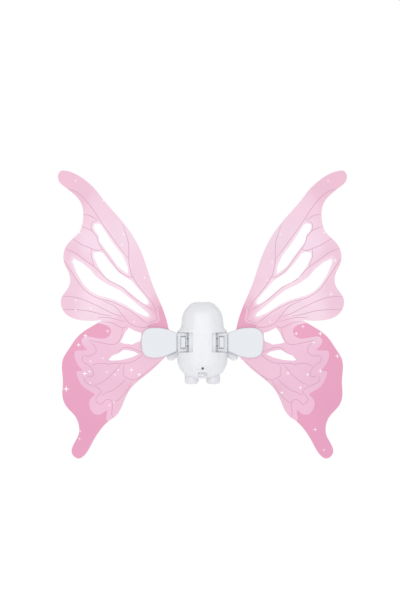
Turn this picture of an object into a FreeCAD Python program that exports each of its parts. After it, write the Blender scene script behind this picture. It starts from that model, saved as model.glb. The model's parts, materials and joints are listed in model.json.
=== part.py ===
import FreeCAD, Part
import math
import os

V = FreeCAD.Vector

# Motor-driven flapping wing unit. Millimetres. +Z up, the wearer is on the +Y side.
# Origin: centre of the flat outer face of the wearer pad.

# Body shell
BODY_YC = -35.0            # middle of the body's depth
SHELL = 2.0                # wall
SPLIT_Y = -28.0            # parting plane between the rear and front shells
SQUARENESS = 3.0           # exponent of the rounded cross-section
# Cross-sections from the flat crown down: height, half width, half depth
SECTIONS = [
    (78.6, 13.5, 10.0), (77.8, 17.0, 13.0), (76.2, 20.4, 16.2), (73.6, 24.2, 19.6),
    (70.4, 27.8, 22.6), (66.0, 31.6, 25.6), (60.0, 35.6, 27.8), (53.0, 38.6, 28.8), (44.0, 40.2, 29.5),
    (35.0, 41.2, 30.0), (30.0, 42.0, 30.4), (26.0, 44.2, 30.8), (22.0, 47.6, 31.0),
    (18.0, 49.2, 31.0), (5.0, 49.2, 31.0), (-12.0, 49.2, 31.0), (-29.0, 49.2, 31.0),
    (-40.0, 48.8, 31.0), (-47.0, 46.6, 30.8), (-54.0, 42.9, 30.0), (-60.0, 38.4, 28.4),
    (-65.0, 32.4, 25.4), (-69.0, 23.6, 20.0), (-70.8, 16.0, 14.5),
]

# Wing hinges and their bays in the body sides
HINGE_X = 25.0
HINGE_Y = -48.0
BAY_X0 = 18.5
BAY_Y1 = -31.0
BAY_Z = 19.2
BAY_WALL = 1.8
HUB_Z = 18.7
BARREL_COVER_X = 25.6
BARREL_COVER_Y = -58.0
BARREL_COVER_R = 6.4
SHAFT_R = 2.0
RUN = 0.05                 # radial clearance of a running fit

# Wing plane and clamp
WING_Y = -50.0
FILM_T = 0.8
CLAMP_BACK = -56.0
CLAMP_FRONT = -44.0
TONGUE_Y = 3.2
TONGUE_Z = 12.0

# Gear train
MODULE = 0.5
SMALL_T = 12
LARGE_T = 48
PRESSURE = math.radians(25.0)
THIN = 0.035               # tooth thinning for backlash
CENTRES = 15.0
CRANK_XY = (0.0, -30.0)
GEAR_B_XY = (-12.0, -39.0)
GEAR_A_XY = (-21.0, -27.0)
MOTOR_XY = (-6.0, -27.0)
MOTOR_TOP = 67.2           # open end of the can, under its cap
CRANK_R = 4.2
RACK_M = 1.0
SECTOR_T = 24
BASE_Z = (21.2, 23.2)
SLIDER_Z = (23.6, 27.6)
BRIDGE_Z = (30.4, 32.4)
COVER_Z = (46.0, 48.5)
LAYER_1 = (41.6, 44.8)
LAYER_2 = (37.4, 40.6)
LAYER_3 = (33.2, 36.6)
CASE_SCREWS = [(26.0, 60.0), (-26.0, 60.0), (33.0, -40.0), (-33.0, -40.0)]
GEARBOX_SCREWS = [(20.0, -32.6), (-20.0, -32.6)]
POSTS_LOW = [(35.0, -46.0), (-35.0, -46.0), (26.0, -20.0), (-26.0, -20.0)]
POSTS_HIGH = [(-31.6, -41.0), (14.5, -45.0), (-7.0, -13.6), (16.5, -20.0)]

# Controls in the lower rear of the body
JACK_X = 0.6
JACK_Z = -50.5
JACK_HOLE_R = 2.7
SWITCH_X = 0.5
SWITCH_Z = -62.6
SWITCH_W = 17.0
SWITCH_H = 8.2
SWITCH_FLOOR = -57.4
KNOB_X = -2.2
KNOB_TRAVEL = 4.0
KNOB_STEM = 0.9

# Wing outline, upper lobe from the clamp out round the tip and in to the notch
LEADING = [(66, 26), (75, 59), (97, 112), (120, 178), (130, 198), (149, 227), (171, 252.5),
           (193, 278), (206, 295), (222, 311), (238, 323), (258, 332.5), (270, 335)]
OUTER_TOP = [(270, 335), (278.5, 332), (281.5, 325.5), (279.5, 314), (267, 302), (252, 290),
             (238, 274), (232.5, 256), (233, 238), (239, 217), (261, 194), (270, 176),
             (270, 157), (258.5, 129), (260.5, 109), (275, 86), (275.5, 72), (263, 52.5),
             (246, 45), (224, 42), (196, 43.5)]
# Lower lobe from the notch down to the tail tip
OUTER_LOW = [(196, 43.5), (208, 35.5), (229, 23), (245, 9), (261, -14), (272, -33),
             (274, -50), (272, -78), (273, -103), (266, -124), (249, -143), (241, -161),
             (241.5, -180), (253, -203), (254.5, -216), (242, -226.5), (229, -219),
             (215, -196), (200, -172), (173, -147)]
TRAILING = [(173, -147), (161, -133), (151, -110), (142, -93), (128, -78), (97, -53),
            (80, -36.5), (68, -24)]
# The film ends inside the clamp
FILM_ROOT = [(68, -24), (60, -16), (57, -13), (57, 13), (60, 19), (66, 26)]

# Openings cut through the film, each a closed line of corners
CELL_A = [(203, 232), (211.5, 230.5), (212.5, 224.5), (209, 216.5), (202.5, 209), (200.5, 196),
          (182, 172), (166, 149), (151, 137), (145, 133.5), (145.5, 146), (149.5, 156),
          (155.5, 169), (173, 191.5), (190, 217), (197.5, 229)]
CELL_B = [(201, 176.5), (212, 175), (212.5, 167), (203, 147), (188, 126.5), (174, 117),
          (155.5, 108.5), (134, 91), (119, 78), (110.5, 74), (105.5, 75.5), (106.5, 82.5),
          (121, 100), (138, 119.5), (163, 136), (180, 155), (193, 173)]
CELL_C = [(251.5, 163.5), (253.5, 157), (244, 133), (232, 113.5), (219, 100), (204, 92),
          (172, 83), (150, 73), (128, 58.5), (110.5, 50.5), (104, 50.5), (106.5, 57),
          (126, 73), (142, 86.5), (160, 101), (189, 115), (207, 127.5), (219, 142),
          (236, 156)]
CELL_D = [(143.5, 28.5), (150.5, 20), (156.5, 7), (160.5, 0.5), (155, -2), (137, -4.5),
          (129, -0.5), (122, 1.5), (119.5, 9), (119.5, 18.5), (130, 21.5)]
CELL_E = [(153.5, -14.5), (165, -22), (176, -26), (183, -34), (178, -36), (158, -34.5),
          (138, -29.5), (124.5, -23), (133, -18), (145, -15.5)]

# Clamp plate outline, from the upper inner corner outwards and back to the lower inner corner
CLAMP = [(49.6, 18.2), (58, 21.6), (66.3, 24.8), (80, 27.9), (94.2, 28.7), (106.3, 26.9),
         (113.2, 22.4), (117.6, 14.6), (119, 3), (118.2, -10.5), (115, -21.6), (109, -27.3),
         (101, -29.8), (90, -30.3), (80, -28.9), (69, -25.1), (59, -20.9), (49.6, -17.0)]
CLAMP_SCREWS = [(63.0, 16.0), (63.0, -15.0), (106.0, 15.0), (105.0, -17.0)]


def box(x0, x1, y0, y1, z0, z1):
    return Part.makeBox(x1 - x0, y1 - y0, z1 - z0, V(x0, y0, z0))


def upright(r, z0, z1, x, y):
    return Part.makeCylinder(r, z1 - z0, V(x, y, z0), V(0, 0, 1))


def across(r, y0, y1, x, z):
    return Part.makeCylinder(r, y1 - y0, V(x, y0, z), V(0, 1, 0))


def other_side(shape):
    return shape.mirror(V(0, 0, 0), V(1, 0, 0))


def both(shape):
    return shape.fuse(other_side(shape))


def polygon(points, z):
    corners = [V(x, y, z) for x, y in points]
    return Part.Face(Part.makePolygon(corners + [corners[0]]))


def plate(points, z0, z1):
    return polygon(points, z0).extrude(V(0, 0, z1 - z0))


def rounded_section(z, half_w, half_d, power, yc, xc=0.0, count=32):
    points = []
    for i in range(count):
        t = 2.0 * math.pi * i / count
        c = math.cos(t)
        s = math.sin(t)
        x = xc + half_w * math.copysign(abs(c) ** (2.0 / power), c)
        y = yc + half_d * math.copysign(abs(s) ** (2.0 / power), s)
        points.append(V(x, y, z))
    curve = Part.BSplineCurve()
    curve.interpolate(Points=points, PeriodicFlag=True)
    return Part.Wire(curve.toShape())


def body_solid(inset):
    squeeze = (78.6 - inset) / 78.6
    wires = []
    for z, half_w, half_d in SECTIONS:
        wires.append(rounded_section(z * squeeze, half_w - inset, half_d - inset,
                                     SQUARENESS, BODY_YC))
    return Part.makeLoft(wires, True, False, False)


def spline(points, y):
    curve = Part.BSplineCurve()
    curve.interpolate([V(x, y, z) for x, z in points])
    return curve.toShape()


def chain(points, y):
    edges = []
    for a, b in zip(points[:-1], points[1:]):
        edges.append(Part.LineSegment(V(a[0], y, a[1]), V(b[0], y, b[1])).toShape())
    return edges


def panel(edges, thick):
    face = Part.Face(Part.Wire(Part.__sortEdges__(edges)))
    return face.extrude(V(0, thick, 0))


# Spur gears with involute flanks

def involute_point(rb, r, mirror, middle, half_at_base):
    roll = math.sqrt(max((r / rb) ** 2 - 1.0, 0.0))
    turn = roll - math.atan(roll)
    angle = middle + mirror * (half_at_base - turn)
    return V(r * math.cos(angle), r * math.sin(angle), 0)


def gear(module, teeth, phase, z0, z1, xy, thin):
    rp = module * teeth / 2.0
    rb = rp * math.cos(PRESSURE)
    ra = rp + 0.95 * module
    rf = rp - 1.25 * module
    half = (math.pi * module / 2.0 - 2.0 * thin) / (2.0 * rp) + math.tan(PRESSURE) - PRESSURE
    start = max(rb, rf)
    edges = []
    last = None
    first = None
    for i in range(teeth):
        middle = phase + 2.0 * math.pi * i / teeth
        sides = []
        for sign in (-1, 1):
            flank = []
            for k in range(3):
                r = start + (ra - start) * k / 2.0
                flank.append(involute_point(rb, r, sign, middle, half))
            sides.append(flank)
        foot = []
        for flank in sides:
            unit = V(flank[0]).normalize()
            foot.append(unit * rf)
        if last is not None:
            edges.append(Part.LineSegment(last, foot[0]).toShape())
        else:
            first = foot[0]
        for flank, base in zip(sides, foot):
            if (flank[0] - base).Length > 0.001:
                edges.append(Part.LineSegment(base, flank[0]).toShape())
            edges.append(Part.Arc(flank[0], flank[1], flank[2]).toShape())
        edges.append(Part.LineSegment(sides[0][2], sides[1][2]).toShape())
        last = foot[1]
    edges.append(Part.LineSegment(last, first).toShape())
    blank = Part.Face(Part.Wire(Part.__sortEdges__(edges))).extrude(V(0, 0, z1 - z0))
    blank.translate(V(xy[0], xy[1], z0))
    return blank


def heading(a, b):
    return math.atan2(b[1] - a[1], b[0] - a[0])


def meshed_phase(a, b, teeth_b):
    return heading(b, a) + math.pi / teeth_b


# Body shells

def hinge_bay_wall():
    return box(BAY_X0 - BAY_WALL, 60, -70, BAY_Y1 + BAY_WALL,
               -BAY_Z - BAY_WALL, BAY_Z + BAY_WALL)


def barrel_cover():
    cover = box(BAY_X0 - 1, BARREL_COVER_X, BARREL_COVER_Y, HINGE_Y - 3, -BAY_Z - 1, BAY_Z + 1)
    return cover.cut(upright(BARREL_COVER_R, -30, 30, HINGE_X, HINGE_Y))


def hinge_bay():
    return box(BAY_X0, 60, -70, BAY_Y1, -BAY_Z, BAY_Z).cut(barrel_cover())


def screw_post(x, z):
    return across(4.4, -75, 10, x, z)


def switch_slot(y0, y1, half_z):
    x0 = KNOB_X - KNOB_STEM - 0.2
    x1 = KNOB_X + KNOB_STEM + KNOB_TRAVEL + 0.2
    return box(x0, x1, y0, y1, SWITCH_Z - half_z, SWITCH_Z + half_z)


def rear_half():
    return box(-80, 80, -80, SPLIT_Y, -90, 90)


def front_half():
    return box(-80, 80, SPLIT_Y, 10, -90, 90)


def make_rear_shell(outer, inner):
    cavity = inner.cut(both(hinge_bay_wall()))
    for x, z in CASE_SCREWS:
        cavity = cavity.cut(screw_post(x, z))
    cavity = cavity.cut(box(-13, 13, -70, -54.6, -80, -56))
    shell = outer.cut(cavity).common(rear_half())
    shell = shell.cut(both(hinge_bay()))
    shell = shell.cut(both(upright(SHAFT_R + RUN, -30, 30, HINGE_X, HINGE_Y)))
    for x, z in CASE_SCREWS:
        shell = shell.cut(across(1.45, -42, -20, x, z))
    for x, y in GEARBOX_SCREWS:
        shell = shell.cut(upright(0.9, BAY_Z + 0.3, 30, x, y))
    shell = shell.cut(across(JACK_HOLE_R, -80, -60, JACK_X, JACK_Z))
    x0 = SWITCH_X - SWITCH_W / 2.0
    z0 = SWITCH_Z - SWITCH_H / 2.0
    shell = shell.cut(box(x0, x0 + SWITCH_W, -80, SWITCH_FLOOR, z0, z0 + SWITCH_H))
    shell = shell.cut(switch_slot(-60, -50, 1.6))
    for x in (21.0, -21.0):
        shell = shell.cut(upright(2.5, -90, -50, x, FOOT_Y))
    return shell


def make_front_shell(outer, inner):
    cavity = inner
    for x, z in CASE_SCREWS:
        cavity = cavity.cut(screw_post(x, z))
    shell = outer.cut(cavity).common(front_half())
    seat = box(-28, 28, -9.0, -3.6, -35, 35)
    shell = shell.fuse(seat.cut(inner))
    for x, z in CASE_SCREWS:
        shell = shell.cut(across(1.7, -40, 0, x, z))
        shell = shell.cut(across(3.1, -15, 10, x, z))
    for spigot in (arm_spigot(), other_side(arm_spigot())):
        shell = shell.cut(spigot)
    return shell


def make_case_screws():
    screws = []
    for x, z in CASE_SCREWS:
        screw = across(2.8, -15.0, -13.2, x, z).fuse(across(1.45, -40, -15.0, x, z))
        screws.append(screw.cut(box(x - 2, x + 2, -13.8, -13, z - 0.4, z + 0.4)))
    return Part.makeCompound(screws)


def make_wearer_pad():
    pad = box(-26, 26, -3.6, 0, -33, 33)
    corners = []
    for edge in pad.Edges:
        ends = [v.Point for v in edge.Vertexes]
        if abs(ends[0].y - ends[1].y) > 1:
            corners.append(edge)
    return pad.makeFillet(8.0, corners)


# Limbs

ARM_A = V(40.0, -15.0, -15.5)
ARM_B = V(62.2, -15.0, -28.8)
ARM_R = 8.6


def arm_spigot():
    return Part.makeCylinder(4.0, 12.0, ARM_A, ARM_B - ARM_A)


def make_arm(outer, inner):
    along = ARM_B - ARM_A
    arm = Part.makeCylinder(ARM_R, along.Length, ARM_A, along)
    arm = arm.fuse(Part.makeSphere(ARM_R, ARM_B))
    arm = arm.cut(outer)
    arm = max(arm.Solids, key=lambda s: s.Volume)
    return arm.fuse(arm_spigot().cut(inner)).removeSplitter()


FOOT_R = 13.7
FOOT_Y = -40.0


def make_foot(outer, inner):
    block = upright(FOOT_R, -82.0, -56.0, 21, FOOT_Y)
    sole = [e for e in block.Edges if e.BoundBox.ZMax < -81.0]
    foot = block.makeFillet(7.0, sole).cut(outer)
    foot = max(foot.Solids, key=lambda s: s.Volume)
    spigot = upright(2.5, -78, -55, 21, FOOT_Y).cut(inner)
    return foot.fuse(spigot).removeSplitter()


# Gearbox

PLATE = [(-29, -15), (29, -15), (37, -40), (37.5, -49.5), (29, -58.5), (-29, -58.5),
         (-37.5, -49.5), (-37, -40)]
COVER = [(-35, -45.5), (-16, -54), (18, -49), (20, -16.5), (12, -11.5), (-11, -11.5),
         (-33, -21)]


def make_gearbox_base():
    base = plate(PLATE, BASE_Z[0], BASE_Z[1])
    for side in (-1, 1):
        x0 = 11.85 if side > 0 else -14.0
        base = base.fuse(box(x0, x0 + 2.15, -34.5, -18, BASE_Z[1], SLIDER_Z[1]))
    for x, y in POSTS_LOW:
        base = base.fuse(upright(1.9, BASE_Z[1], BRIDGE_Z[0], x, y))
    base = base.cut(both(upright(SHAFT_R + RUN, 20, 25, HINGE_X, HINGE_Y)))
    for x, y in GEARBOX_SCREWS:
        base = base.cut(upright(1.1, 20, 25, x, y))
    for x, y in POSTS_LOW:
        base = base.cut(upright(0.9, BASE_Z[1] + 1, BRIDGE_Z[0] + 1, x, y))
    return base


def make_gearbox_bridge():
    bridge = plate(PLATE, BRIDGE_Z[0], BRIDGE_Z[1])
    for x, y in POSTS_HIGH:
        bridge = bridge.fuse(upright(2.4, BRIDGE_Z[1], COVER_Z[0], x, y))
    bridge = bridge.cut(upright(6.35, 30, 34, CRANK_XY[0], CRANK_XY[1]))
    bridge = bridge.cut(both(upright(SHAFT_R + RUN, 30, 31.6, HINGE_X, HINGE_Y)))
    for x, y in (GEAR_A_XY, GEAR_B_XY):
        bridge = bridge.cut(upright(1.0, 30, 34, x, y))
    for x, y in POSTS_LOW:
        bridge = bridge.cut(upright(1.1, 30, 34, x, y))
    for x, y in POSTS_HIGH:
        bridge = bridge.cut(upright(0.9, 38, 47, x, y))
    return bridge


def make_gearbox_cover():
    cover = plate(COVER, COVER_Z[0], COVER_Z[1])
    for x, y in POSTS_HIGH:
        cover = cover.cut(upright(1.1, 45, 50, x, y))
    for x, y in (GEAR_A_XY, GEAR_B_XY):
        cover = cover.cut(upright(1.0, 45, 47.8, x, y))
    cover = cover.cut(upright(1.5, 45, 48.0, CRANK_XY[0], CRANK_XY[1]))
    return cover.cut(upright(3.2, 45, 50, MOTOR_XY[0], MOTOR_XY[1]))


def small_screw(x, y, z, length):
    head = upright(1.9, z, z + 1.2, x, y)
    head = head.cut(box(x - 1.5, x + 1.5, y - 0.3, y + 0.3, z + 0.7, z + 2))
    return head.fuse(upright(0.9, z - length, z, x, y))


def make_gearbox_screws():
    screws = []
    for x, y in GEARBOX_SCREWS:
        screws.append(small_screw(x, y, BASE_Z[1], 3.6))
    for x, y in POSTS_LOW:
        screws.append(small_screw(x, y, BRIDGE_Z[1], 6.0))
    for x, y in POSTS_HIGH:
        screws.append(small_screw(x, y, COVER_Z[1], 8.0))
    return Part.makeCompound(screws)


def make_gear_axles():
    axles = []
    for x, y in (GEAR_A_XY, GEAR_B_XY):
        axles.append(upright(1.0, BRIDGE_Z[0], 47.8, x, y))
    x, y = CRANK_XY
    axles.append(upright(1.5, 34.0, 48.0, x, y))
    return Part.makeCompound(axles)


def make_crank_gear():
    x, y = CRANK_XY
    wheel = gear(MODULE, LARGE_T, heading(CRANK_XY, GEAR_B_XY),
                 LAYER_3[0], LAYER_3[1], CRANK_XY, THIN)
    wheel = wheel.fuse(upright(6.28, 30.2, LAYER_3[0], x, y))
    wheel = wheel.fuse(upright(1.5, SLIDER_Z[1] + 0.3, 30.2, x + CRANK_R, y))
    return wheel.cut(upright(1.5 + RUN, 33.8, 40, x, y))


def make_gear_b():
    small = gear(MODULE, SMALL_T, meshed_phase(CRANK_XY, GEAR_B_XY, SMALL_T),
                 LAYER_3[0], LAYER_2[0], GEAR_B_XY, THIN)
    large = gear(MODULE, LARGE_T, heading(GEAR_B_XY, GEAR_A_XY),
                 LAYER_2[0], LAYER_2[1], GEAR_B_XY, THIN)
    both_gears = small.fuse(large)
    both_gears = both_gears.fuse(upright(2.0, 32.8, LAYER_3[0], GEAR_B_XY[0], GEAR_B_XY[1]))
    return both_gears.cut(upright(1.0 + RUN, 30, 50, GEAR_B_XY[0], GEAR_B_XY[1]))


def make_gear_a():
    small = gear(MODULE, SMALL_T, meshed_phase(GEAR_B_XY, GEAR_A_XY, SMALL_T),
                 LAYER_2[0], LAYER_1[0], GEAR_A_XY, THIN)
    large = gear(MODULE, LARGE_T, heading(GEAR_A_XY, MOTOR_XY),
                 LAYER_1[0], LAYER_1[1], GEAR_A_XY, THIN)
    both_gears = small.fuse(large)
    both_gears = both_gears.fuse(upright(2.0, 32.8, LAYER_2[0], GEAR_A_XY[0], GEAR_A_XY[1]))
    return both_gears.cut(upright(1.0 + RUN, 30, 50, GEAR_A_XY[0], GEAR_A_XY[1]))


def make_motor_rotor():
    x, y = MOTOR_XY
    pinion = gear(MODULE, SMALL_T, meshed_phase(GEAR_A_XY, MOTOR_XY, SMALL_T),
                  LAYER_1[0] - 0.4, LAYER_1[1] + 0.4, MOTOR_XY, THIN)
    shaft = upright(1.0, LAYER_1[0] - 0.6, MOTOR_TOP + 2.0, x, y)
    armature = upright(6.4, 53.0, MOTOR_TOP - 2.0, x, y)
    return pinion.fuse(shaft).fuse(armature)


def make_motor_case():
    x, y = MOTOR_XY
    flats = box(x - 10, x + 10, y - 7.6, y + 7.6, 40, 80)
    can = upright(10.0, COVER_Z[1], MOTOR_TOP, x, y).common(flats)
    hollow = upright(9.3, COVER_Z[1] + 0.8, MOTOR_TOP + 1.0, x, y)
    hollow = hollow.common(box(x - 9.3, x + 9.3, y - 6.9, y + 6.9, 40, 80))
    can = can.cut(hollow)
    nose = upright(3.0, COVER_Z[1] - 1.6, COVER_Z[1], x, y)
    can = can.fuse(nose)
    return can.cut(upright(1.0 + RUN, 40, 60, x, y))


def make_motor_cap():
    x, y = MOTOR_XY
    flats = box(x - 10, x + 10, y - 7.6, y + 7.6, 40, 80)
    top = MOTOR_TOP + 3.2
    cap = upright(10.0, MOTOR_TOP, top, x, y).common(flats)
    for side in (-1, 1):
        tab = box(x + side * 6 - 1.2, x + side * 6 + 1.2, y - 0.25, y + 0.25, top - 0.2, top + 1.8)
        cap = cap.fuse(tab)
    return cap.cut(upright(1.0 + RUN, MOTOR_TOP - 1.0, MOTOR_TOP + 2.2, x, y))


def make_yoke_slider():
    z0, z1 = SLIDER_Z
    pitch = math.pi * RACK_M
    root = HINGE_X - RACK_M * SECTOR_T / 2.0 - 1.25 * RACK_M
    body = box(-root, root, -58.5, -23.5, z0, z1)
    lean = math.tan(PRESSURE)
    half = pitch / 4.0 - THIN
    low = half + 1.25 * lean
    high = half - 0.95 * lean
    tip = root + 2.2 * RACK_M
    for i in range(-3, 3):
        yc = HINGE_Y + pitch * (i + 0.5)
        points = [(root - 0.3, yc - low - 0.1), (root, yc - low), (tip, yc - high),
                  (tip, yc + high), (root, yc + low), (root - 0.3, yc + low + 0.1)]
        body = body.fuse(both(plate(points, z0, z1)))
    slot = box(-CRANK_R, CRANK_R, CRANK_XY[1] - 1.6, CRANK_XY[1] + 1.6, z0, z1)
    slot = slot.fuse(both(upright(1.6, z0, z1, CRANK_R, CRANK_XY[1])))
    body = body.cut(slot)
    return body.cut(box(-6, 6, -55, -38, z0 + 1.6, z1)).removeSplitter()


def make_sector():
    full = gear(RACK_M, SECTOR_T, math.pi, SLIDER_Z[0], SLIDER_Z[1],
                (HINGE_X, HINGE_Y), THIN)
    keep = box(HINGE_X - 16, HINGE_X, HINGE_Y - 10.0, HINGE_Y + 10.0, 20, 30)
    sector = full.common(keep)
    sector = sector.fuse(upright(5.6, SLIDER_Z[0], SLIDER_Z[1] + 1.6, HINGE_X, HINGE_Y))
    return sector.cut(upright(SHAFT_R, 20, 32, HINGE_X, HINGE_Y))


# Wings

def make_hub():
    hub = box(HINGE_X, 48.2, -57.0, -43.0, -HUB_Z, HUB_Z)
    rim = []
    for edge in hub.Edges:
        ends = [v.Point for v in edge.Vertexes]
        if ends[0].y < -56 and ends[1].y < -56:
            rim.append(edge)
    hub = hub.makeFillet(1.2, rim)
    hub = hub.cut(box(HINGE_X - 1, 30.6, -60, -52.4, -20, 20))
    hub = hub.fuse(upright(6.0, -HUB_Z, HUB_Z, HINGE_X, HINGE_Y))
    hub = hub.cut(box(32.2, 50, WING_Y - TONGUE_Y - 0.3, WING_Y + TONGUE_Y + 0.3,
                      -TONGUE_Z - 0.3, TONGUE_Z + 0.3))
    hub = hub.cut(box(32.2, 42.4, -60, WING_Y, -TONGUE_Z - 0.3, TONGUE_Z + 0.3))
    for z in (7.2, -7.2):
        hub = hub.cut(across(1.35, -60, -50, 28.6, z))
    return hub.cut(upright(SHAFT_R, -20, 20, HINGE_X, HINGE_Y)).removeSplitter()


def make_hub_screws():
    screws = []
    for z in (7.2, -7.2):
        screw = across(1.35, -53.6, -50.0, 28.6, z)
        screws.append(screw.cut(box(28, 29.2, -54, -53, z - 0.6, z + 0.6)))
    return Part.makeCompound(screws)


def make_latch():
    button = box(32.8, 42.0, -56.6, -50.6, -10.6, 10.4)
    rim = []
    for edge in button.Edges:
        ends = [v.Point for v in edge.Vertexes]
        if ends[0].y < -56 and ends[1].y < -56:
            rim.append(edge)
    return button.makeFillet(0.8, rim)


def clamp_plate(y0, y1):
    edges = [spline(CLAMP, y0)]
    edges += chain([CLAMP[-1], CLAMP[0]], y0)
    return panel(edges, y1 - y0)


def soften(shape, y, radius):
    rim = []
    for edge in shape.Edges:
        box_y = edge.BoundBox
        if abs(box_y.YMin - y) < 0.01 and abs(box_y.YMax - y) < 0.01:
            rim.append(edge)
    return shape.makeFillet(radius, rim)


def make_clamp_back():
    half = soften(clamp_plate(CLAMP_BACK, WING_Y - FILM_T / 2.0), CLAMP_BACK, 2.4)
    half = half.cut(box(40, 56.5, WING_Y - TONGUE_Y - 0.1, -40, -TONGUE_Z - 0.1,
                        TONGUE_Z + 0.1))
    for x, z in CLAMP_SCREWS:
        half = half.cut(across(1.0, -53.6, -40, x, z))
    return half


def make_clamp_front():
    half = soften(clamp_plate(WING_Y + FILM_T / 2.0, CLAMP_FRONT), CLAMP_FRONT, 2.4)
    tongue = box(33.0, 56.4, WING_Y - TONGUE_Y, WING_Y + TONGUE_Y, -TONGUE_Z, TONGUE_Z)
    tongue = tongue.cut(box(32.0, 42.4, -60, -48.6, -11.0, 10.8))
    half = half.fuse(tongue)
    for x, z in CLAMP_SCREWS:
        half = half.cut(across(1.2, -52, -40, x, z))
        half = half.cut(across(2.2, -46.2, -40, x, z))
    return half.removeSplitter()


def make_clamp_screws():
    screws = []
    for x, z in CLAMP_SCREWS:
        screw = across(2.0, -46.2, -44.8, x, z).fuse(across(1.0, -53.6, -46.2, x, z))
        screws.append(screw.cut(box(x - 1.4, x + 1.4, -45.3, -44, z - 0.3, z + 0.3)))
    return Part.makeCompound(screws)


def make_film():
    y0 = WING_Y - FILM_T / 2.0
    edges = [spline(LEADING, y0), spline(OUTER_TOP, y0), spline(OUTER_LOW, y0),
             spline(TRAILING, y0)]
    edges += chain(FILM_ROOT, y0)
    film = panel(edges, FILM_T)
    for cell in (CELL_A, CELL_B, CELL_C, CELL_D, CELL_E):
        hole = panel(chain(cell + [cell[0]], y0 - 1), FILM_T + 2)
        film = film.cut(hole)
    for x, z in CLAMP_SCREWS:
        film = film.cut(across(1.3, -55, -45, x, z))
    return film


# Electrics

def make_battery_cell():
    cell = Part.makeCylinder(7.0, 48.5, V(-24.5, -16.5, -38), V(1, 0, 0))
    return cell.fuse(Part.makeCylinder(2.6, 1.2, V(24.0, -16.5, -38), V(1, 0, 0)))


def make_battery_holder(inner):
    tray = box(-27, 27, -25, -5.0, -46.4, -29.6).common(inner)
    tray = tray.cut(Part.makeCylinder(7.15, 49.9, V(-24.6, -16.5, -38), V(1, 0, 0)))
    return tray.cut(box(-24.6, 25.3, -40, -16.5, -45.15, -30.85))


def make_circuit_board():
    board = box(-18, 18, -50.6, -49.0, -65.2, -27.0)
    for x in (-15.5, 15.5):
        board = board.cut(across(1.1, -60, -40, x, -31))
    return board


def make_board_parts():
    chips = [box(-14, -6, -49.0, -47.4, -40, -33), box(4, 9, -49.0, -47.8, -44, -38),
             box(-5, -2, -49.0, -47.9, -56, -54), box(2, 5, -49.0, -47.9, -56, -54),
             across(3.0, -49.0, -41.0, 12, -53)]
    return Part.makeCompound(chips)


def make_charge_jack():
    jack = box(JACK_X - 4.5, JACK_X + 4.5, -61.6, -50.6, JACK_Z - 4.4, JACK_Z + 4.4)
    return jack.cut(across(JACK_HOLE_R, -70, -53, JACK_X, JACK_Z))


def make_switch_body():
    case = box(-8, 9.5, -54.4, -50.6, SWITCH_Z - 3.6, SWITCH_Z + 3.6)
    return case.cut(switch_slot(-55, -52.0, 1.7))


def make_switch_knob():
    knob = box(KNOB_X - 5.4, KNOB_X + 5.8, -60.4, -57.7, SWITCH_Z - 2.9, SWITCH_Z + 2.9)
    for x in (-1.6, 3.4):
        knob = knob.cut(box(KNOB_X + x, KNOB_X + x + 0.5, -61, -59.9,
                            SWITCH_Z - 3, SWITCH_Z + 3))
    stem = box(KNOB_X - KNOB_STEM, KNOB_X + KNOB_STEM, -57.7, -52.4,
               SWITCH_Z - 1.2, SWITCH_Z + 1.2)
    return knob.fuse(stem)


def save(name, shape):
    shape.exportStep("parts/" + name + ".step")


def save_pair(name, right):
    save("right_" + name, right)
    save("left_" + name, other_side(right))


def main():
    os.makedirs("parts", exist_ok=True)
    outer = body_solid(0.0)
    inner = body_solid(SHELL)
    save("rear_shell", make_rear_shell(outer, inner))
    save("front_shell", make_front_shell(outer, inner))
    save("wearer_pad", make_wearer_pad())
    save("case_screws", make_case_screws())
    save_pair("arm", make_arm(outer, inner))
    save_pair("foot", make_foot(outer, inner))
    save("gearbox_base", make_gearbox_base())
    save("gearbox_bridge", make_gearbox_bridge())
    save("gearbox_cover", make_gearbox_cover())
    save("gearbox_screws", make_gearbox_screws())
    save("gear_axles", make_gear_axles())
    save("crank_gear", make_crank_gear())
    save("second_gear", make_gear_b())
    save("first_gear", make_gear_a())
    save("motor_rotor", make_motor_rotor())
    save("motor_case", make_motor_case())
    save("motor_cap", make_motor_cap())
    save("yoke_slider", make_yoke_slider())
    save_pair("sector", make_sector())
    save_pair("hub_shaft", upright(SHAFT_R, -21.0, 31.4, HINGE_X, HINGE_Y))
    save_pair("hub", make_hub())
    save_pair("hub_screws", make_hub_screws())
    save_pair("latch", make_latch())
    save_pair("clamp_back", make_clamp_back())
    save_pair("clamp_front", make_clamp_front())
    save_pair("clamp_screws", make_clamp_screws())
    save_pair("film", make_film())
    save("battery_cell", make_battery_cell())
    save("battery_holder", make_battery_holder(inner))
    save("circuit_board", make_circuit_board())
    save("board_parts", make_board_parts())
    save("charge_jack", make_charge_jack())
    save("switch_body", make_switch_body())
    save("switch_knob", make_switch_knob())


main()
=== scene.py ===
import json
import math

import bmesh
import bpy
import numpy as np
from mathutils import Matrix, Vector
from mathutils.geometry import delaunay_2d_cdt


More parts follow.
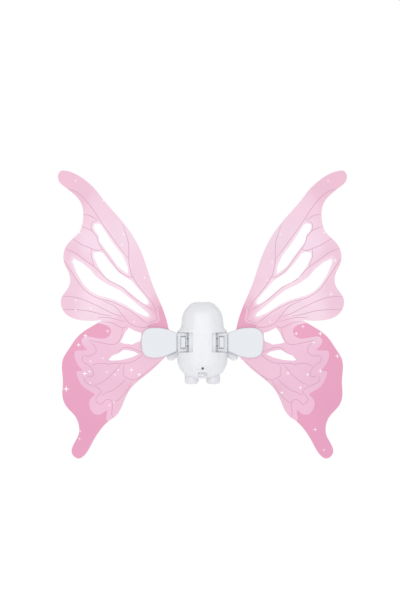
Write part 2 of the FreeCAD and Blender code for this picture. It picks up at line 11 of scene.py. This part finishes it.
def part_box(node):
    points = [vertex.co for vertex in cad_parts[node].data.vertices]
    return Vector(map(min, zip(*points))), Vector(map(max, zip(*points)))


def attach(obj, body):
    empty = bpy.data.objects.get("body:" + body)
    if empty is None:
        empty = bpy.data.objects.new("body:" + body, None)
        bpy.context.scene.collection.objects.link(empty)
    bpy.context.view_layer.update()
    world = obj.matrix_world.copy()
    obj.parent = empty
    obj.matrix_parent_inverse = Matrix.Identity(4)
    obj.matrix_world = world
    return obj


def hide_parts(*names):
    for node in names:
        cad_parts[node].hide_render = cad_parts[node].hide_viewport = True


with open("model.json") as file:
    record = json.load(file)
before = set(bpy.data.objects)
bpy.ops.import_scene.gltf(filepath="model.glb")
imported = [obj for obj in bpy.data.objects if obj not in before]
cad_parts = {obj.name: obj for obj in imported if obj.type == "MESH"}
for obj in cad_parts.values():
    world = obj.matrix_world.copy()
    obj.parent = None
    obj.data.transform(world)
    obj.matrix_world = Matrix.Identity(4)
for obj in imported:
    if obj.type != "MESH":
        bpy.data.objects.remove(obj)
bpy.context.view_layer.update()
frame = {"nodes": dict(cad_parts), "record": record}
scene = bpy.context.scene
nodes = frame["nodes"]

# ---------------------------------------------------------------- camera
cam_data = bpy.data.cameras.new("camera")
cam = bpy.data.objects.new("camera", cam_data)
scene.collection.objects.link(cam)
scene.camera = cam
cam_data.sensor_fit = "VERTICAL"
SENSOR = 36.0
DISTANCE = 3.0             # from the lens to the wing plane
FIELD = 1.170              # height seen at that distance
WING_PLANE = -0.05
cam_data.sensor_height = SENSOR
cam_data.lens = SENSOR * DISTANCE / FIELD
cam_data.clip_end = 50
cam_data.dof.use_dof = False
cam.location = (-0.0047, WING_PLANE - DISTANCE, 0.0825)
cam.rotation_euler = (math.radians(90), 0, 0)
scene.view_settings.view_transform = "Standard"
scene.view_settings.look = "None"


def linear(rgb):
    """Scene-linear values of an sRGB colour given in 0 to 255."""
    out = []
    for c in rgb:
        c = c / 255.0
        out.append(c / 12.92 if c <= 0.04045 else ((c + 0.055) / 1.055) ** 2.4)
    return out


# What the soft light adds in the gloss, and how bright it is on a face turned to the viewer
SHEEN = 0.03
LIT = 1.4
DARKEST = 0.002
LIGHTEST = 0.9


def pigment(rgb):
    """The base colour that looks like rgb in this light."""
    return [min(max((c - SHEEN) / LIT, DARKEST), LIGHTEST) for c in linear(rgb)]


# ---------------------------------------------------------------- light
world = bpy.data.worlds.new("studio")
scene.world = world
world.use_nodes = True
world.node_tree.nodes["Background"].inputs["Color"].default_value = (1, 1, 1, 1)
world.node_tree.nodes["Background"].inputs["Strength"].default_value = 1.0


def area(name, place, aim, size, watts):
    data = bpy.data.lights.new(name, "AREA")
    data.size = size
    data.energy = watts
    light = bpy.data.objects.new(name, data)
    scene.collection.objects.link(light)
    light.location = place
    light.rotation_euler = (Vector(aim) - Vector(place)).to_track_quat("-Z", "Y").to_euler()


area("key", place=(-0.15, -3.3, 0.35), aim=(0, 0, 0.05), size=0.9, watts=37.0)


# ---------------------------------------------------------------- materials
def shader(name, rough=0.45, coat=0.0, metallic=0.0, spec=0.5):
    mat = bpy.data.materials.new(name)
    mat.use_nodes = True
    tree = mat.node_tree
    bsdf = tree.nodes["Principled BSDF"]
    bsdf.inputs["Roughness"].default_value = rough
    bsdf.inputs["Metallic"].default_value = metallic
    bsdf.inputs["Coat Weight"].default_value = coat
    bsdf.inputs["Specular IOR Level"].default_value = spec
    return mat, tree, bsdf


def noise(tree, scale, detail=4.0, rough=0.55):
    coord = tree.nodes.new("ShaderNodeTexCoord")
    tex = tree.nodes.new("ShaderNodeTexNoise")
    tex.inputs["Scale"].default_value = scale
    tex.inputs["Detail"].default_value = detail
    tex.inputs["Roughness"].default_value = rough
    tree.links.new(coord.outputs["Object"], tex.inputs["Vector"])
    return tex


def ramp(tree, source, low, high, a, b):
    node = tree.nodes.new("ShaderNodeValToRGB")
    node.color_ramp.elements[0].position = a
    node.color_ramp.elements[0].color = (*low, 1)
    node.color_ramp.elements[1].position = b
    node.color_ramp.elements[1].color = (*high, 1)
    tree.links.new(source, node.inputs["Fac"])
    return node


def plastic(name, rgb, rough=0.42, coat=0.0, grain=900.0, depth=0.00002, spec=0.4, milky=0.0):
    mat, tree, bsdf = shader(name, rough, coat, 0.0, spec)
    bsdf.inputs["Subsurface Weight"].default_value = milky
    bsdf.inputs["Subsurface Radius"].default_value = (1.0, 1.0, 1.0)
    bsdf.inputs["Subsurface Scale"].default_value = 0.003
    base = pigment(rgb)
    cloud = noise(tree, 12.0, 3.0)
    tone = ramp(tree, cloud.outputs["Fac"], [c * 0.99 for c in base], base, 0.3, 0.7)
    tree.links.new(tone.outputs["Color"], bsdf.inputs["Base Color"])
    fine = noise(tree, grain, 2.0)
    bump = tree.nodes.new("ShaderNodeBump")
    bump.inputs["Strength"].default_value = 0.15
    bump.inputs["Distance"].default_value = depth
    tree.links.new(fine.outputs["Fac"], bump.inputs["Height"])
    tree.links.new(bump.outputs["Normal"], bsdf.inputs["Normal"])
    return mat


def metal(name, rgb, rough=0.3):
    mat, tree, bsdf = shader(name, rough, 0.0, 1.0)
    base = linear(rgb)
    cloud = noise(tree, 300.0, 3.0)
    tone = ramp(tree, cloud.outputs["Fac"], [c * 0.9 for c in base], base, 0.3, 0.7)
    tree.links.new(tone.outputs["Color"], bsdf.inputs["Base Color"])
    return mat


WHITE_BODY = plastic("white_satin_body", (240, 241, 245), 0.38, milky=0.4)
WHITE_LIMB = plastic("white_satin_limb", (237, 237, 243), 0.42, milky=0.4)
# The arms lie in the shade of the clamp plates, so their white is painted brighter than their real white:
# painted light against that shade
WHITE_ARM_PAINTED_LIGHT = plastic("white_satin_arm_painted_light", (250, 252, 258), 0.5, milky=0.2)
WHITE_CLAMP = plastic("white_clamp", (232, 235, 240), 0.5)
WHITE_HUB = plastic("white_hub", (228, 229, 234), 0.5, milky=0.4)
FOAM = plastic("pad_cloth", (205, 205, 210), 0.9, 0.0, 1600.0, 0.0003, 0.1)
GEARBOX = plastic("gearbox_black", (66, 70, 76), 0.5)
ACETAL = plastic("gear_acetal", (233, 230, 216), 0.35)
STEEL = metal("steel", (190, 190, 192), 0.28)
DARK_SCREW = metal("dark_screw", (70, 70, 74), 0.4)
MOTOR = metal("motor_can", (205, 205, 208), 0.25)
CELL = plastic("cell_sleeve", (40, 110, 170), 0.25, 0.4)
BOARD = plastic("solder_mask", (24, 96, 58), 0.3, 0.3)
BLACK = plastic("black_moulding", (38, 38, 41), 0.5)
KNOB = plastic("knob", (238, 238, 243), 0.4, milky=0.4)
SOCKET = plastic("socket_grey", (225, 225, 230), 0.5, milky=0.3)

LOOK = {
    "body_white": WHITE_BODY, "limb_white": WHITE_LIMB, "clamp_white": WHITE_CLAMP,
    "hub_white": WHITE_HUB, "pad_foam": FOAM, "gearbox_plastic": GEARBOX,
    "gear_acetal": ACETAL, "steel": STEEL, "screw_dark": DARK_SCREW, "motor_steel": MOTOR,
    "motor_cap_plastic": ACETAL, "cell_wrap": CELL, "board_green": BOARD,
    "chip_black": BLACK, "control_dark": BLACK, "knob_white": KNOB,
}
OWN_LOOK = {"right_arm": WHITE_ARM_PAINTED_LIGHT, "left_arm": WHITE_ARM_PAINTED_LIGHT, "charge_jack": SOCKET}
for part in frame["record"]["subparts"]:
    look = LOOK.get(part["material_slot"])
    if look:
        mesh = nodes[part["node"]].data
        mesh.materials.clear()
        mesh.materials.append(OWN_LOOK.get(part["node"], look))

# ---------------------------------------------------------------- printed film
# Colours of the print at places on the wing: millimetres out from the middle and up, then colour
GROUND = [
    ((272, 322), (244, 196, 216)), ((240, 290), (241, 196, 216)), ((205, 262), (247, 211, 228)),
    ((150, 205), (244, 215, 231)), ((120, 160), (244, 210, 227)), ((105, 105), (244, 208, 225)),
    ((86, 70), (239, 189, 209)), ((255, 175), (243, 203, 221)), ((215, 190), (249, 220, 237)),
    ((240, 130), (242, 204, 222)), ((262, 75), (243, 203, 222)), ((220, 62), (248, 219, 233)),
    ((185, 62), (247, 219, 233)), ((212, 82), (252, 222, 237)), ((160, 30), (244, 199, 219)),
    ((200, -25), (242, 196, 219)), ((230, -35), (241, 193, 218)), ((180, -70), (240, 195, 218)),
    ((140, -60), (243, 199, 220)), ((225, -70), (239, 192, 215)), ((190, -125), (244, 194, 219)),
    ((150, -105), (240, 196, 217)), ((148, -93), (238, 189, 211)),
]
DEEP = [((85, 40), (234, 166, 195)), ((205, 22), (237, 165, 195)), ((240, -150), (235, 165, 196))]
VEINS = {
    "v1": [(262, 299), (252, 296.5), (245, 294), (230, 282), (212, 260), (198, 238), (181, 214), (162, 188),
           (144, 164)],
    "v2": [(154, 230), (144, 199), (142, 180), (142, 157), (137, 132), (134, 127), (122, 108),
           (102, 84), (93, 70), (90, 61)],
    "v3": [(204, 237), (213, 233), (215, 223), (211, 215), (204, 206), (201, 195), (193, 182),
           (178, 162), (161, 139), (144, 128), (134, 127)],
    "v4": [(234, 250), (217, 247), (203, 238)],
    "v5": [(236, 226.5), (220, 221), (213, 216)],
    "v6": [(254, 204), (232, 190), (222, 186), (215, 183), (203, 179), (193, 182)],
    "v7": [(270, 184), (249, 176), (232, 164), (208, 147), (195, 134), (183, 122), (168, 114),
           (154, 106), (129, 84), (91, 60)],
    "v8": [(214, 182), (215, 169), (208, 147)],
    "v9": [(269, 162), (257, 144), (244, 124), (232, 107), (217, 94), (199, 85), (175, 79),
           (144, 64), (121, 48), (107, 37)],
    "v10": [(275, 90), (242, 87), (209, 74), (175, 57), (155, 50)],
    "v11": [(192, 81), (169, 70), (155, 54), (141, 37), (124, 30), (107, 30), (104, 35)],
    "v12": [(275, 64), (248, 64), (220, 61), (192, 54), (174, 51)],
    "v13": [(206, 48), (180, 48), (149, 40)],
    "l1": [(192, 40), (175, 38), (154, 28), (144, 33)],
    "l2": [(154, 28), (157, 11), (166, -2), (180, -4), (214, 3), (219, 2)],
    "l3": [(215, -1), (208, -7), (205, -15), (208, -22), (219, -27), (228, -26), (232, -31),
           (229, -39), (222, -43), (215, -50), (211, -57), (211, -65), (216, -67), (224, -65)],
    "l4": [(229, -66), (227, -76), (218, -82), (210, -85), (203, -88), (195, -97), (200, -102),
           (205, -108), (205, -115), (197, -121), (191, -117), (186, -112), (179, -112),
           (174, -117), (174, -129), (175, -140), (173, -146)],
    "l5": [(214, -47), (205, -42), (190, -41), (181, -43), (171, -41), (150, -41), (135, -38),
           (122, -30), (115, -24)],
    "l6": [(157, -43), (165, -51), (176, -64), (194, -78), (209, -83)],
    "l7": [(150, -43), (153, -52), (152, -64), (146, -69), (137, -73), (128, -72), (113, -62)],
    "l8": [(146, -70), (158, -82), (174, -94), (186, -98), (194, -104)],
    "l9": [(136, -74), (144, -92), (158, -108), (167, -115), (174, -118)],
    "l11": [(84, -37), (98, -50), (113, -62.5), (127, -74.5)],
    "root": [(79, 74), (85, 70.5), (88, 67), (90.5, 60), (89.5, 56), (88.5, 49), (87, 44), (94, 41),
             (101, 38.5), (107, 37)],
    "l10": [(163, -19), (153, -11), (142, -10), (128, -15), (115, -20)],
}
DEEP_ROOT = [(58, 20), (62, 75), (77, 75), (80, 72), (83.5, 68), (85, 63), (83.5, 51), (82.5, 43),
             (87, 38.5), (95, 37), (103, 34), (105, 28), (101, 20)]
DEEP_LOW = [(190, 35), (182, 31.5), (177, 25), (176.5, 19), (180, 12.5), (186, 8.6), (195, 7.2),
            (208, 9), (222, 11.5), (229, 10), (233, 5.5), (233.5, 0), (230, -6), (226, -11),
            (223, -15), (233, -16), (245, -17), (247, -26), (244, -37), (239, -46), (231.5, -55.5),
            (241, -56), (243, -60), (239, -73), (229.6, -87), (218, -94.5), (209, -100),
            (209, -104), (214.5, -108), (218.5, -116), (217, -128), (211, -137.5), (205, -141),
            (195, -140), (186, -133), (184, -138), (183.5, -154), (150, -162), (200, -245),
            (300, -245), (300, -10), (250, 24), (214, 41), (203, 38)]
STARS = {
    1: [(183, 17, 4), (196, 31, 4), (230, 17, 5), (217, 0, 4), (263, -27, 5), (230, -56, 5),
        (191, -88, 4), (155, -98, 4), (220, -170, 4), (257, -205, 4), (237, -210, 3),
        (259, 160, 4), (136, 157, 3), (126, 121, 3), (251, 94, 4), (167, -60, 4), (205, -63, 4),
        (245, 315, 3), (191, 277, 3), (237, 214, 3), (152, 211, 3), (132, 40, 3)],
    -1: [(263, -91, 7), (227, -61, 6), (218, -57, 4), (137, -54, 5), (122, -63, 5),
         (226, 13, 5), (239, -5, 5), (183, 22, 4), (216, -37, 3), (192, -31, 3), (163, -54, 3),
         (169, -63, 3), (184, -58, 3), (217, -79, 3), (171, -117, 3), (180, -123, 3),
         (245, 315, 3), (191, 277, 3), (237, 214, 3), (152, 211, 3), (155, 190, 3),
         (112, 126, 3), (245, 82, 3), (245, 63, 3), (216, 67, 3), (205, 49, 3), (132, 40, 3),
         (236, -173, 3), (237, -188, 3)],
}
VEIN_HALF = 0.62
VEIN_TAPER = 5             # pieces over which a vein thins towards each end
VEIN_REACH = 0.02          # slack for a triangle's middle on a vein's very edge
STAR_WAIST = 0.24          # a star's inner radius over its reach
# The print is a little wider on one wing than on the other
PRINT_WIDTH = {1: 1.0, -1: 1.01}
# The print pales towards the openings of the upper lobe
PALE = (252, 228, 240)
PALE_REACH = 9.0
PALE_MOST = 0.75
UPPER_LOBE = 40            # openings wholly above this height lie in the upper lobe
# How softly one place's colour goes over to the next one's
BLEND_POWER = 1.4
BLEND_SOFT = 30.0
# Staggered points inside the outline, where the colour can change
GRID_STEP = 6.0
GRID_CORNER = (58, -232)
GRID_COLUMNS = 38
GRID_ROWS = 96
MERGE_DISTANCE = 0.002
FACE_SLACK = 0.00005       # metres within which a corner counts as on the rear face


def smooth_line(points, steps=6, closed=False):
    """A soft curve through the points."""
    n = len(points)
    out = []
    spans = n if closed else n - 1
    for i in range(spans):
        p1, p2 = points[i], points[(i + 1) % n]
        p0 = points[i - 1] if (closed or i > 0) else p1
        p3 = points[(i + 2) % n] if (closed or i + 2 < n) else p2
        for k in range(steps):
            t = k / steps
            out.append(tuple(
                0.5 * (2 * b + (c - a) * t + (2 * a - 5 * b + 4 * c - d) * t * t
                       + (3 * b - a - 3 * c + d) * t ** 3)
                for a, b, c, d in zip(p0, p1, p2, p3)))
    if not closed:
        out.append(tuple(points[-1]))
    return out


def edge_loops(obj, side):
    """The outline and the holes of the film's rear face, in millimetres out and up."""
    low = min(v.co.y for v in obj.data.vertices)
    uses = {}
    for poly in obj.data.polygons:
        corners = [obj.data.vertices[i].co for i in poly.vertices]
        if max(c.y for c in corners) > low + FACE_SLACK:
            continue
        keys = [(round(c.x * side * 1000, 3), round(c.z * 1000, 3)) for c in corners]
        for a, b in zip(keys, keys[1:] + keys[:1]):
            pair = (min(a, b), max(a, b))
            uses[pair] = uses.get(pair, 0) + 1
    near = {}
    for (a, b), count in uses.items():
        if count == 1 and a != b:
            near.setdefault(a, []).append(b)
            near.setdefault(b, []).append(a)
    loops = []
    left = set(near)
    while left:
        first = min(left)
        loop = [first]
        left.discard(first)
        here = first
        while True:
            step = [p for p in near[here] if p in left]
            if not step:
                break
            here = step[0]
            left.discard(here)
            loop.append(here)
        loops.append(loop)
    return sorted(loops, key=lambda l: -max(p[1] for p in l) + min(p[1] for p in l))


def blend_colour(table, x, z):
    """The table's colours, each weighing more the nearer its place is."""
    total = 0.0
    mix = [0.0, 0.0, 0.0]
    for (px, pz), rgb in table:
        w = 1.0 / (((px - x) ** 2 + (pz - z) ** 2) ** BLEND_POWER + BLEND_SOFT)
        total += w
        for i in range(3):
            mix[i] += w * rgb[i]
    return pigment([m / total for m in mix])


def ribbon(points, half):
    """Short straight pieces along a line, each with its half width: (ax, az, bx, bz, half)."""
    line = smooth_line(points, 5)
    count = len(line)
    pieces = []
    for i in range(count - 1):
        (ax, az), (bx, bz) = line[i], line[i + 1]
        if math.hypot(bx - ax, bz - az) > 0.05:
            taper = 0.5 + 0.5 * min(1, (i + 1) / VEIN_TAPER, (count - 1 - i) / VEIN_TAPER)
            pieces.append((ax, az, bx, bz, half * taper))
    return pieces


def ribbon_corners(piece):
    ax, az, bx, bz, half = piece
    length = math.hypot(bx - ax, bz - az)
    nx, nz = -(bz - az) / length * half, (bx - ax) / length * half
    return [(ax + nx, az + nz), (ax - nx, az - nz), (bx - nx, bz - nz), (bx + nx, bz + nz)]


def star(x, z, r):
    corners = []
    for i in range(8):
        reach = r if i % 2 == 0 else r * STAR_WAIST
        t = math.pi * i / 4
        corners.append((x + reach * math.cos(t), z + reach * math.sin(t)))
    return corners


def inside(px, pz, loop):
    """Which of the points lie in the closed line."""
    hit = np.zeros(len(px), bool)
    for (ax, az), (bx, bz) in zip(loop, loop[1:] + loop[:1]):
        if az != bz:
            across = (az > pz) != (bz > pz)
            hit ^= across & (px < ax + (pz - az) / (bz - az) * (bx - ax))
    return hit


def near_piece(px, pz, piece):
    """Which of the points lie on the piece of vein."""
    ax, az, bx, bz, half = piece
    dx, dz = bx - ax, bz - az
    t = np.clip(((px - ax) * dx + (pz - az) * dz) / (dx * dx + dz * dz), 0, 1)
    return np.hypot(px - ax - t * dx, pz - az - t * dz) <= half + VEIN_REACH


def pale_share(flat, loops):
    """How far each point's colour goes to the pale one: most at an opening's edge."""
    nearest = np.full(len(flat), 1e6)
    for loop in loops:
        for (ax, az), (bx, bz) in zip(loop, loop[1:] + loop[:1]):
            dx, dz = bx - ax, bz - az
            length = max(dx * dx + dz * dz, 1e-9)
            t = np.clip(((flat[:, 0] - ax) * dx + (flat[:, 1] - az) * dz) / length, 0, 1)
            gap = np.hypot(flat[:, 0] - ax - t * dx, flat[:, 1] - az - t * dz)
            nearest = np.minimum(nearest, gap)
    return PALE_MOST * np.clip(1 - nearest / PALE_REACH, 0, 1)


GROUND_KIND, DEEP_KIND, VEIN_KIND, STAR_KIND, EDGE_KIND = range(5)


def film_material(name, flat=None):
    """The film's look: one flat colour, or else the print's ink."""
    mat, tree, bsdf = shader(name, spec=0.35)
    if flat:
        bsdf.inputs["Base Color"].default_value = (*pigment(flat), 1)
        return mat
    ink = tree.nodes.new("ShaderNodeAttribute")
    ink.attribute_name = "ink"
    cloud = noise(tree, 14.0, 5.0)
    tint = ramp(tree, cloud.outputs["Fac"], (0.97, 0.965, 0.975), (1, 1, 1), 0.35, 0.65)
    mult = tree.nodes.new("ShaderNodeMix")
    mult.data_type = "RGBA"
    mult.blend_type = "MULTIPLY"
    mult.inputs["Factor"].default_value = 1.0
    tree.links.new(ink.outputs["Color"], mult.inputs["A"])
    tree.links.new(tint.outputs["Color"], mult.inputs["B"])
    tree.links.new(mult.outputs["Result"], bsdf.inputs["Base Color"])
    fine = noise(tree, 60.0, 2.0)
    bump = tree.nodes.new("ShaderNodeBump")
    bump.inputs["Strength"].default_value = 0.2
    bump.inputs["Distance"].default_value = 0.0004
    tree.links.new(fine.outputs["Fac"], bump.inputs["Height"])
    tree.links.new(bump.outputs["Normal"], bsdf.inputs["Normal"])
    return mat


FILM_LOOKS = [
    film_material("film_print"), film_material("film_print_deep"),
    film_material("film_vein", (213, 163, 187)), film_material("film_star", (255, 255, 255)),
    film_material("film_cut_edge", (214, 196, 206)),
]


def inner_grid(outline):
    x0, z0 = GRID_CORNER
    grid = [(x0 + i * GRID_STEP + (k % 2) * GRID_STEP / 2, z0 + k * GRID_STEP)
            for i in range(GRID_COLUMNS) for k in range(GRID_ROWS)]
    gx, gz = np.array(grid).T
    return [p for p, keep in zip(grid, inside(gx, gz, outline)) if keep]


def triangulate(outline, others):
    """Corner points and triangles of the flat sheet, with an edge along every closed line."""
    verts = []
    lines = []
    for loop in [outline] + others:
        start = len(verts)
        verts += [Vector(p) for p in loop]
        lines += [(start + i, start + (i + 1) % len(loop)) for i in range(len(loop))]
    verts += [Vector(p) for p in inner_grid(outline)]
    out = delaunay_2d_cdt(verts, lines, [], 0, MERGE_DISTANCE, True)
    return np.array([(p.x, p.y) for p in out[0]]), out[2]


def on_sheet(middle, outline, holes):
    mx, mz = middle.T
    keep = inside(mx, mz, outline)
    for hole in holes:
        keep &= ~inside(mx, mz, hole)
    return keep


def print_kinds(middle, zones, pieces, stars):
    """What each triangle shows: ground, a deep patch, a vein or a star."""
    mx, mz = middle.T
    kinds = np.full(len(middle), GROUND_KIND)
    for zone in zones:
        kinds[inside(mx, mz, zone)] = DEEP_KIND
    for piece in pieces:
        kinds[near_piece(mx, mz, piece)] = VEIN_KIND
    for shape in stars:
        kinds[inside(mx, mz, shape)] = STAR_KIND
    return kinds


def ink_colour(kind, x, z, pale):
    shade = blend_colour(DEEP if kind == DEEP_KIND else GROUND, x, z)
    if kind == GROUND_KIND:
        shade = [c + (p - c) * pale for c, p in zip(shade, pigment(PALE))]
    return (*shade, 1)


def build_sheet(flat, tris, kinds, pale, side, depths):
    """Both faces and the cut edge of the film, with the print's ink in each corner."""
    bm = bmesh.new()
    ink = bm.loops.layers.float_color.new("ink")
    rear, front = [[bm.verts.new((x * side / 1000, y, z / 1000)) for x, z in flat] for y in depths]
    used = {}
    for tri, kind in zip(tris, kinds):
        a, b, c = tri if side > 0 else tri[::-1]
        for ring, verts_of in (((a, b, c), rear), ((a, c, b), front)):
            face = bm.faces.new([verts_of[i] for i in ring])
            face.material_index = kind
            for loop, i in zip(face.loops, ring):
                loop[ink] = ink_colour(kind, float(flat[i][0]), float(flat[i][1]), pale[i])
        for u, v in ((a, b), (b, c), (c, a)):
            used[(u, v)] = True
    for u, v in list(used):
        if (v, u) not in used:
            face = bm.faces.new([rear[v], rear[u], front[u], front[v]])
            face.material_index = EDGE_KIND
    loose = [v for v in bm.verts if not v.link_faces]
    bmesh.ops.delete(bm, geom=loose, context="VERTS")
    bmesh.ops.recalc_face_normals(bm, faces=bm.faces)
    return bm


def make_film(side, name):
    low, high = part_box(name + "_film")
    loops = edge_loops(nodes[name + "_film"], side)
    outline, holes = loops[0], loops[1:]
    wide = PRINT_WIDTH[side]
    zones = [[(x * wide, z) for x, z in smooth_line(zone, 3, True)] for zone in (DEEP_ROOT, DEEP_LOW)]
    pieces = [p for line in VEINS.values()
              for p in ribbon([(x * wide, z) for x, z in line], VEIN_HALF)]
    stars = [star(x * wide, z, r) for x, z, r in STARS[side]]
    upper = [hole for hole in holes if min(z for x, z in hole) > UPPER_LOBE]
    flat, tris = triangulate(outline, holes + zones + stars + [ribbon_corners(p) for p in pieces])
    middle = flat[np.array(tris)].mean(axis=1)
    wanted = on_sheet(middle, outline, holes)
    kinds = print_kinds(middle, zones, pieces, stars)[wanted].tolist()
    tris = [tri for tri, keep in zip(tris, wanted) if keep]
    bm = build_sheet(flat, tris, kinds, pale_share(flat, upper), side, (low.y, high.y))
    mesh = bpy.data.meshes.new(name + "_wing_film")
    bm.to_mesh(mesh)
    bm.free()
    for look in FILM_LOOKS:
        mesh.materials.append(look)
    film = bpy.data.objects.new(name + "_wing_film", mesh)
    scene.collection.objects.link(film)
    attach(film, name + "_wing")
    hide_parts(name + "_film")
    return film


right_film = make_film(1, "right")
left_film = make_film(-1, "left")


# ---------------------------------------------------------------- cushion on the wearer's side
CUSHION_CORNER = 0.008
CUSHION_EDGE = 0.0028      # width of the rounded rim
CUSHION_RIM = 0.25         # thickness left at the rim, over the full one
SEAM_IN = 0.006            # from the rim to the seam
SEAM_WIDTH = 0.0011
SEAM_DEPTH = 0.0006
CUSHION_ACROSS = 40        # squares of its mesh
CUSHION_UP = 50


def round_corner(x, z, half, corner):
    """Pull a square corner in to a round one."""
    ex, ez = half.x - corner, half.z - corner
    dx, dz = max(abs(x) - ex, 0), max(abs(z) - ez, 0)
    if dx and dz:
        scale = max(dx, dz) / math.hypot(dx, dz)
        x = math.copysign(ex + dx * scale, x)
        z = math.copysign(ez + dz * scale, z)
        return x, z, corner - max(dx, dz)
    return x, z, min(half.x - abs(x), half.z - abs(z))


def make_cushion():
    low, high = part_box("wearer_pad")
    mid = (low + high) / 2
    half = (high - low) / 2
    bm = bmesh.new()
    across, up = CUSHION_ACROSS, CUSHION_UP
    sheets = []
    for face in (-1, 1):
        grid = []
        for j in range(up + 1):
            line = []
            for i in range(across + 1):
                x, z, edge = round_corner(half.x * (2 * i / across - 1),
                                          half.z * (2 * j / up - 1), half, CUSHION_CORNER)
                soft = math.sqrt(max(0.0, 1 - (1 - min(edge / CUSHION_EDGE, 1)) ** 2))
                seam = SEAM_DEPTH * math.exp(-((edge - SEAM_IN) / SEAM_WIDTH) ** 2)
                puff = half.y * (CUSHION_RIM + (1 - CUSHION_RIM) * soft) - seam
                line.append(bm.verts.new((mid.x + x, mid.y + face * puff, mid.z + z)))
            grid.append(line)
        sheets.append(grid)
    for grid in sheets:
        for j in range(up):
            for i in range(across):
                bm.faces.new([grid[j][i], grid[j][i + 1], grid[j + 1][i + 1], grid[j + 1][i]])
    back, front = sheets
    border = [(0, i) for i in range(across)] + [(j, across) for j in range(up)]
    border += [(up, i) for i in range(across, 0, -1)] + [(j, 0) for j in range(up, 0, -1)]
    for (j, i), (m, k) in zip(border, border[1:] + border[:1]):
        bm.faces.new([back[j][i], front[j][i], front[m][k], back[m][k]])
    bmesh.ops.recalc_face_normals(bm, faces=bm.faces)
    for face in bm.faces:
        face.smooth = True
    mesh = bpy.data.meshes.new("wearer_cushion")
    bm.to_mesh(mesh)
    bm.free()
    mesh.materials.append(FOAM)
    cushion = bpy.data.objects.new("wearer_cushion", mesh)
    scene.collection.objects.link(cushion)
    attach(cushion, "body")
    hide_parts("wearer_pad")


make_cushion()

# ---------------------------------------------------------------- floor, far below the wing tails
bpy.ops.mesh.primitive_plane_add(size=3.0, location=(0, 0.4, -0.70))
floor = bpy.context.active_object
floor.name = "floor"
floor_mat, floor_tree, floor_bsdf = shader("floor_white", 0.9, 0.0, 0.0, 0.0)
floor_bsdf.inputs["Base Color"].default_value = (0.97, 0.97, 0.97, 1)
floor_bsdf.inputs["Emission Color"].default_value = (1, 1, 1, 1)
floor_bsdf.inputs["Emission Strength"].default_value = 0.15
floor.data.materials.append(floor_mat)
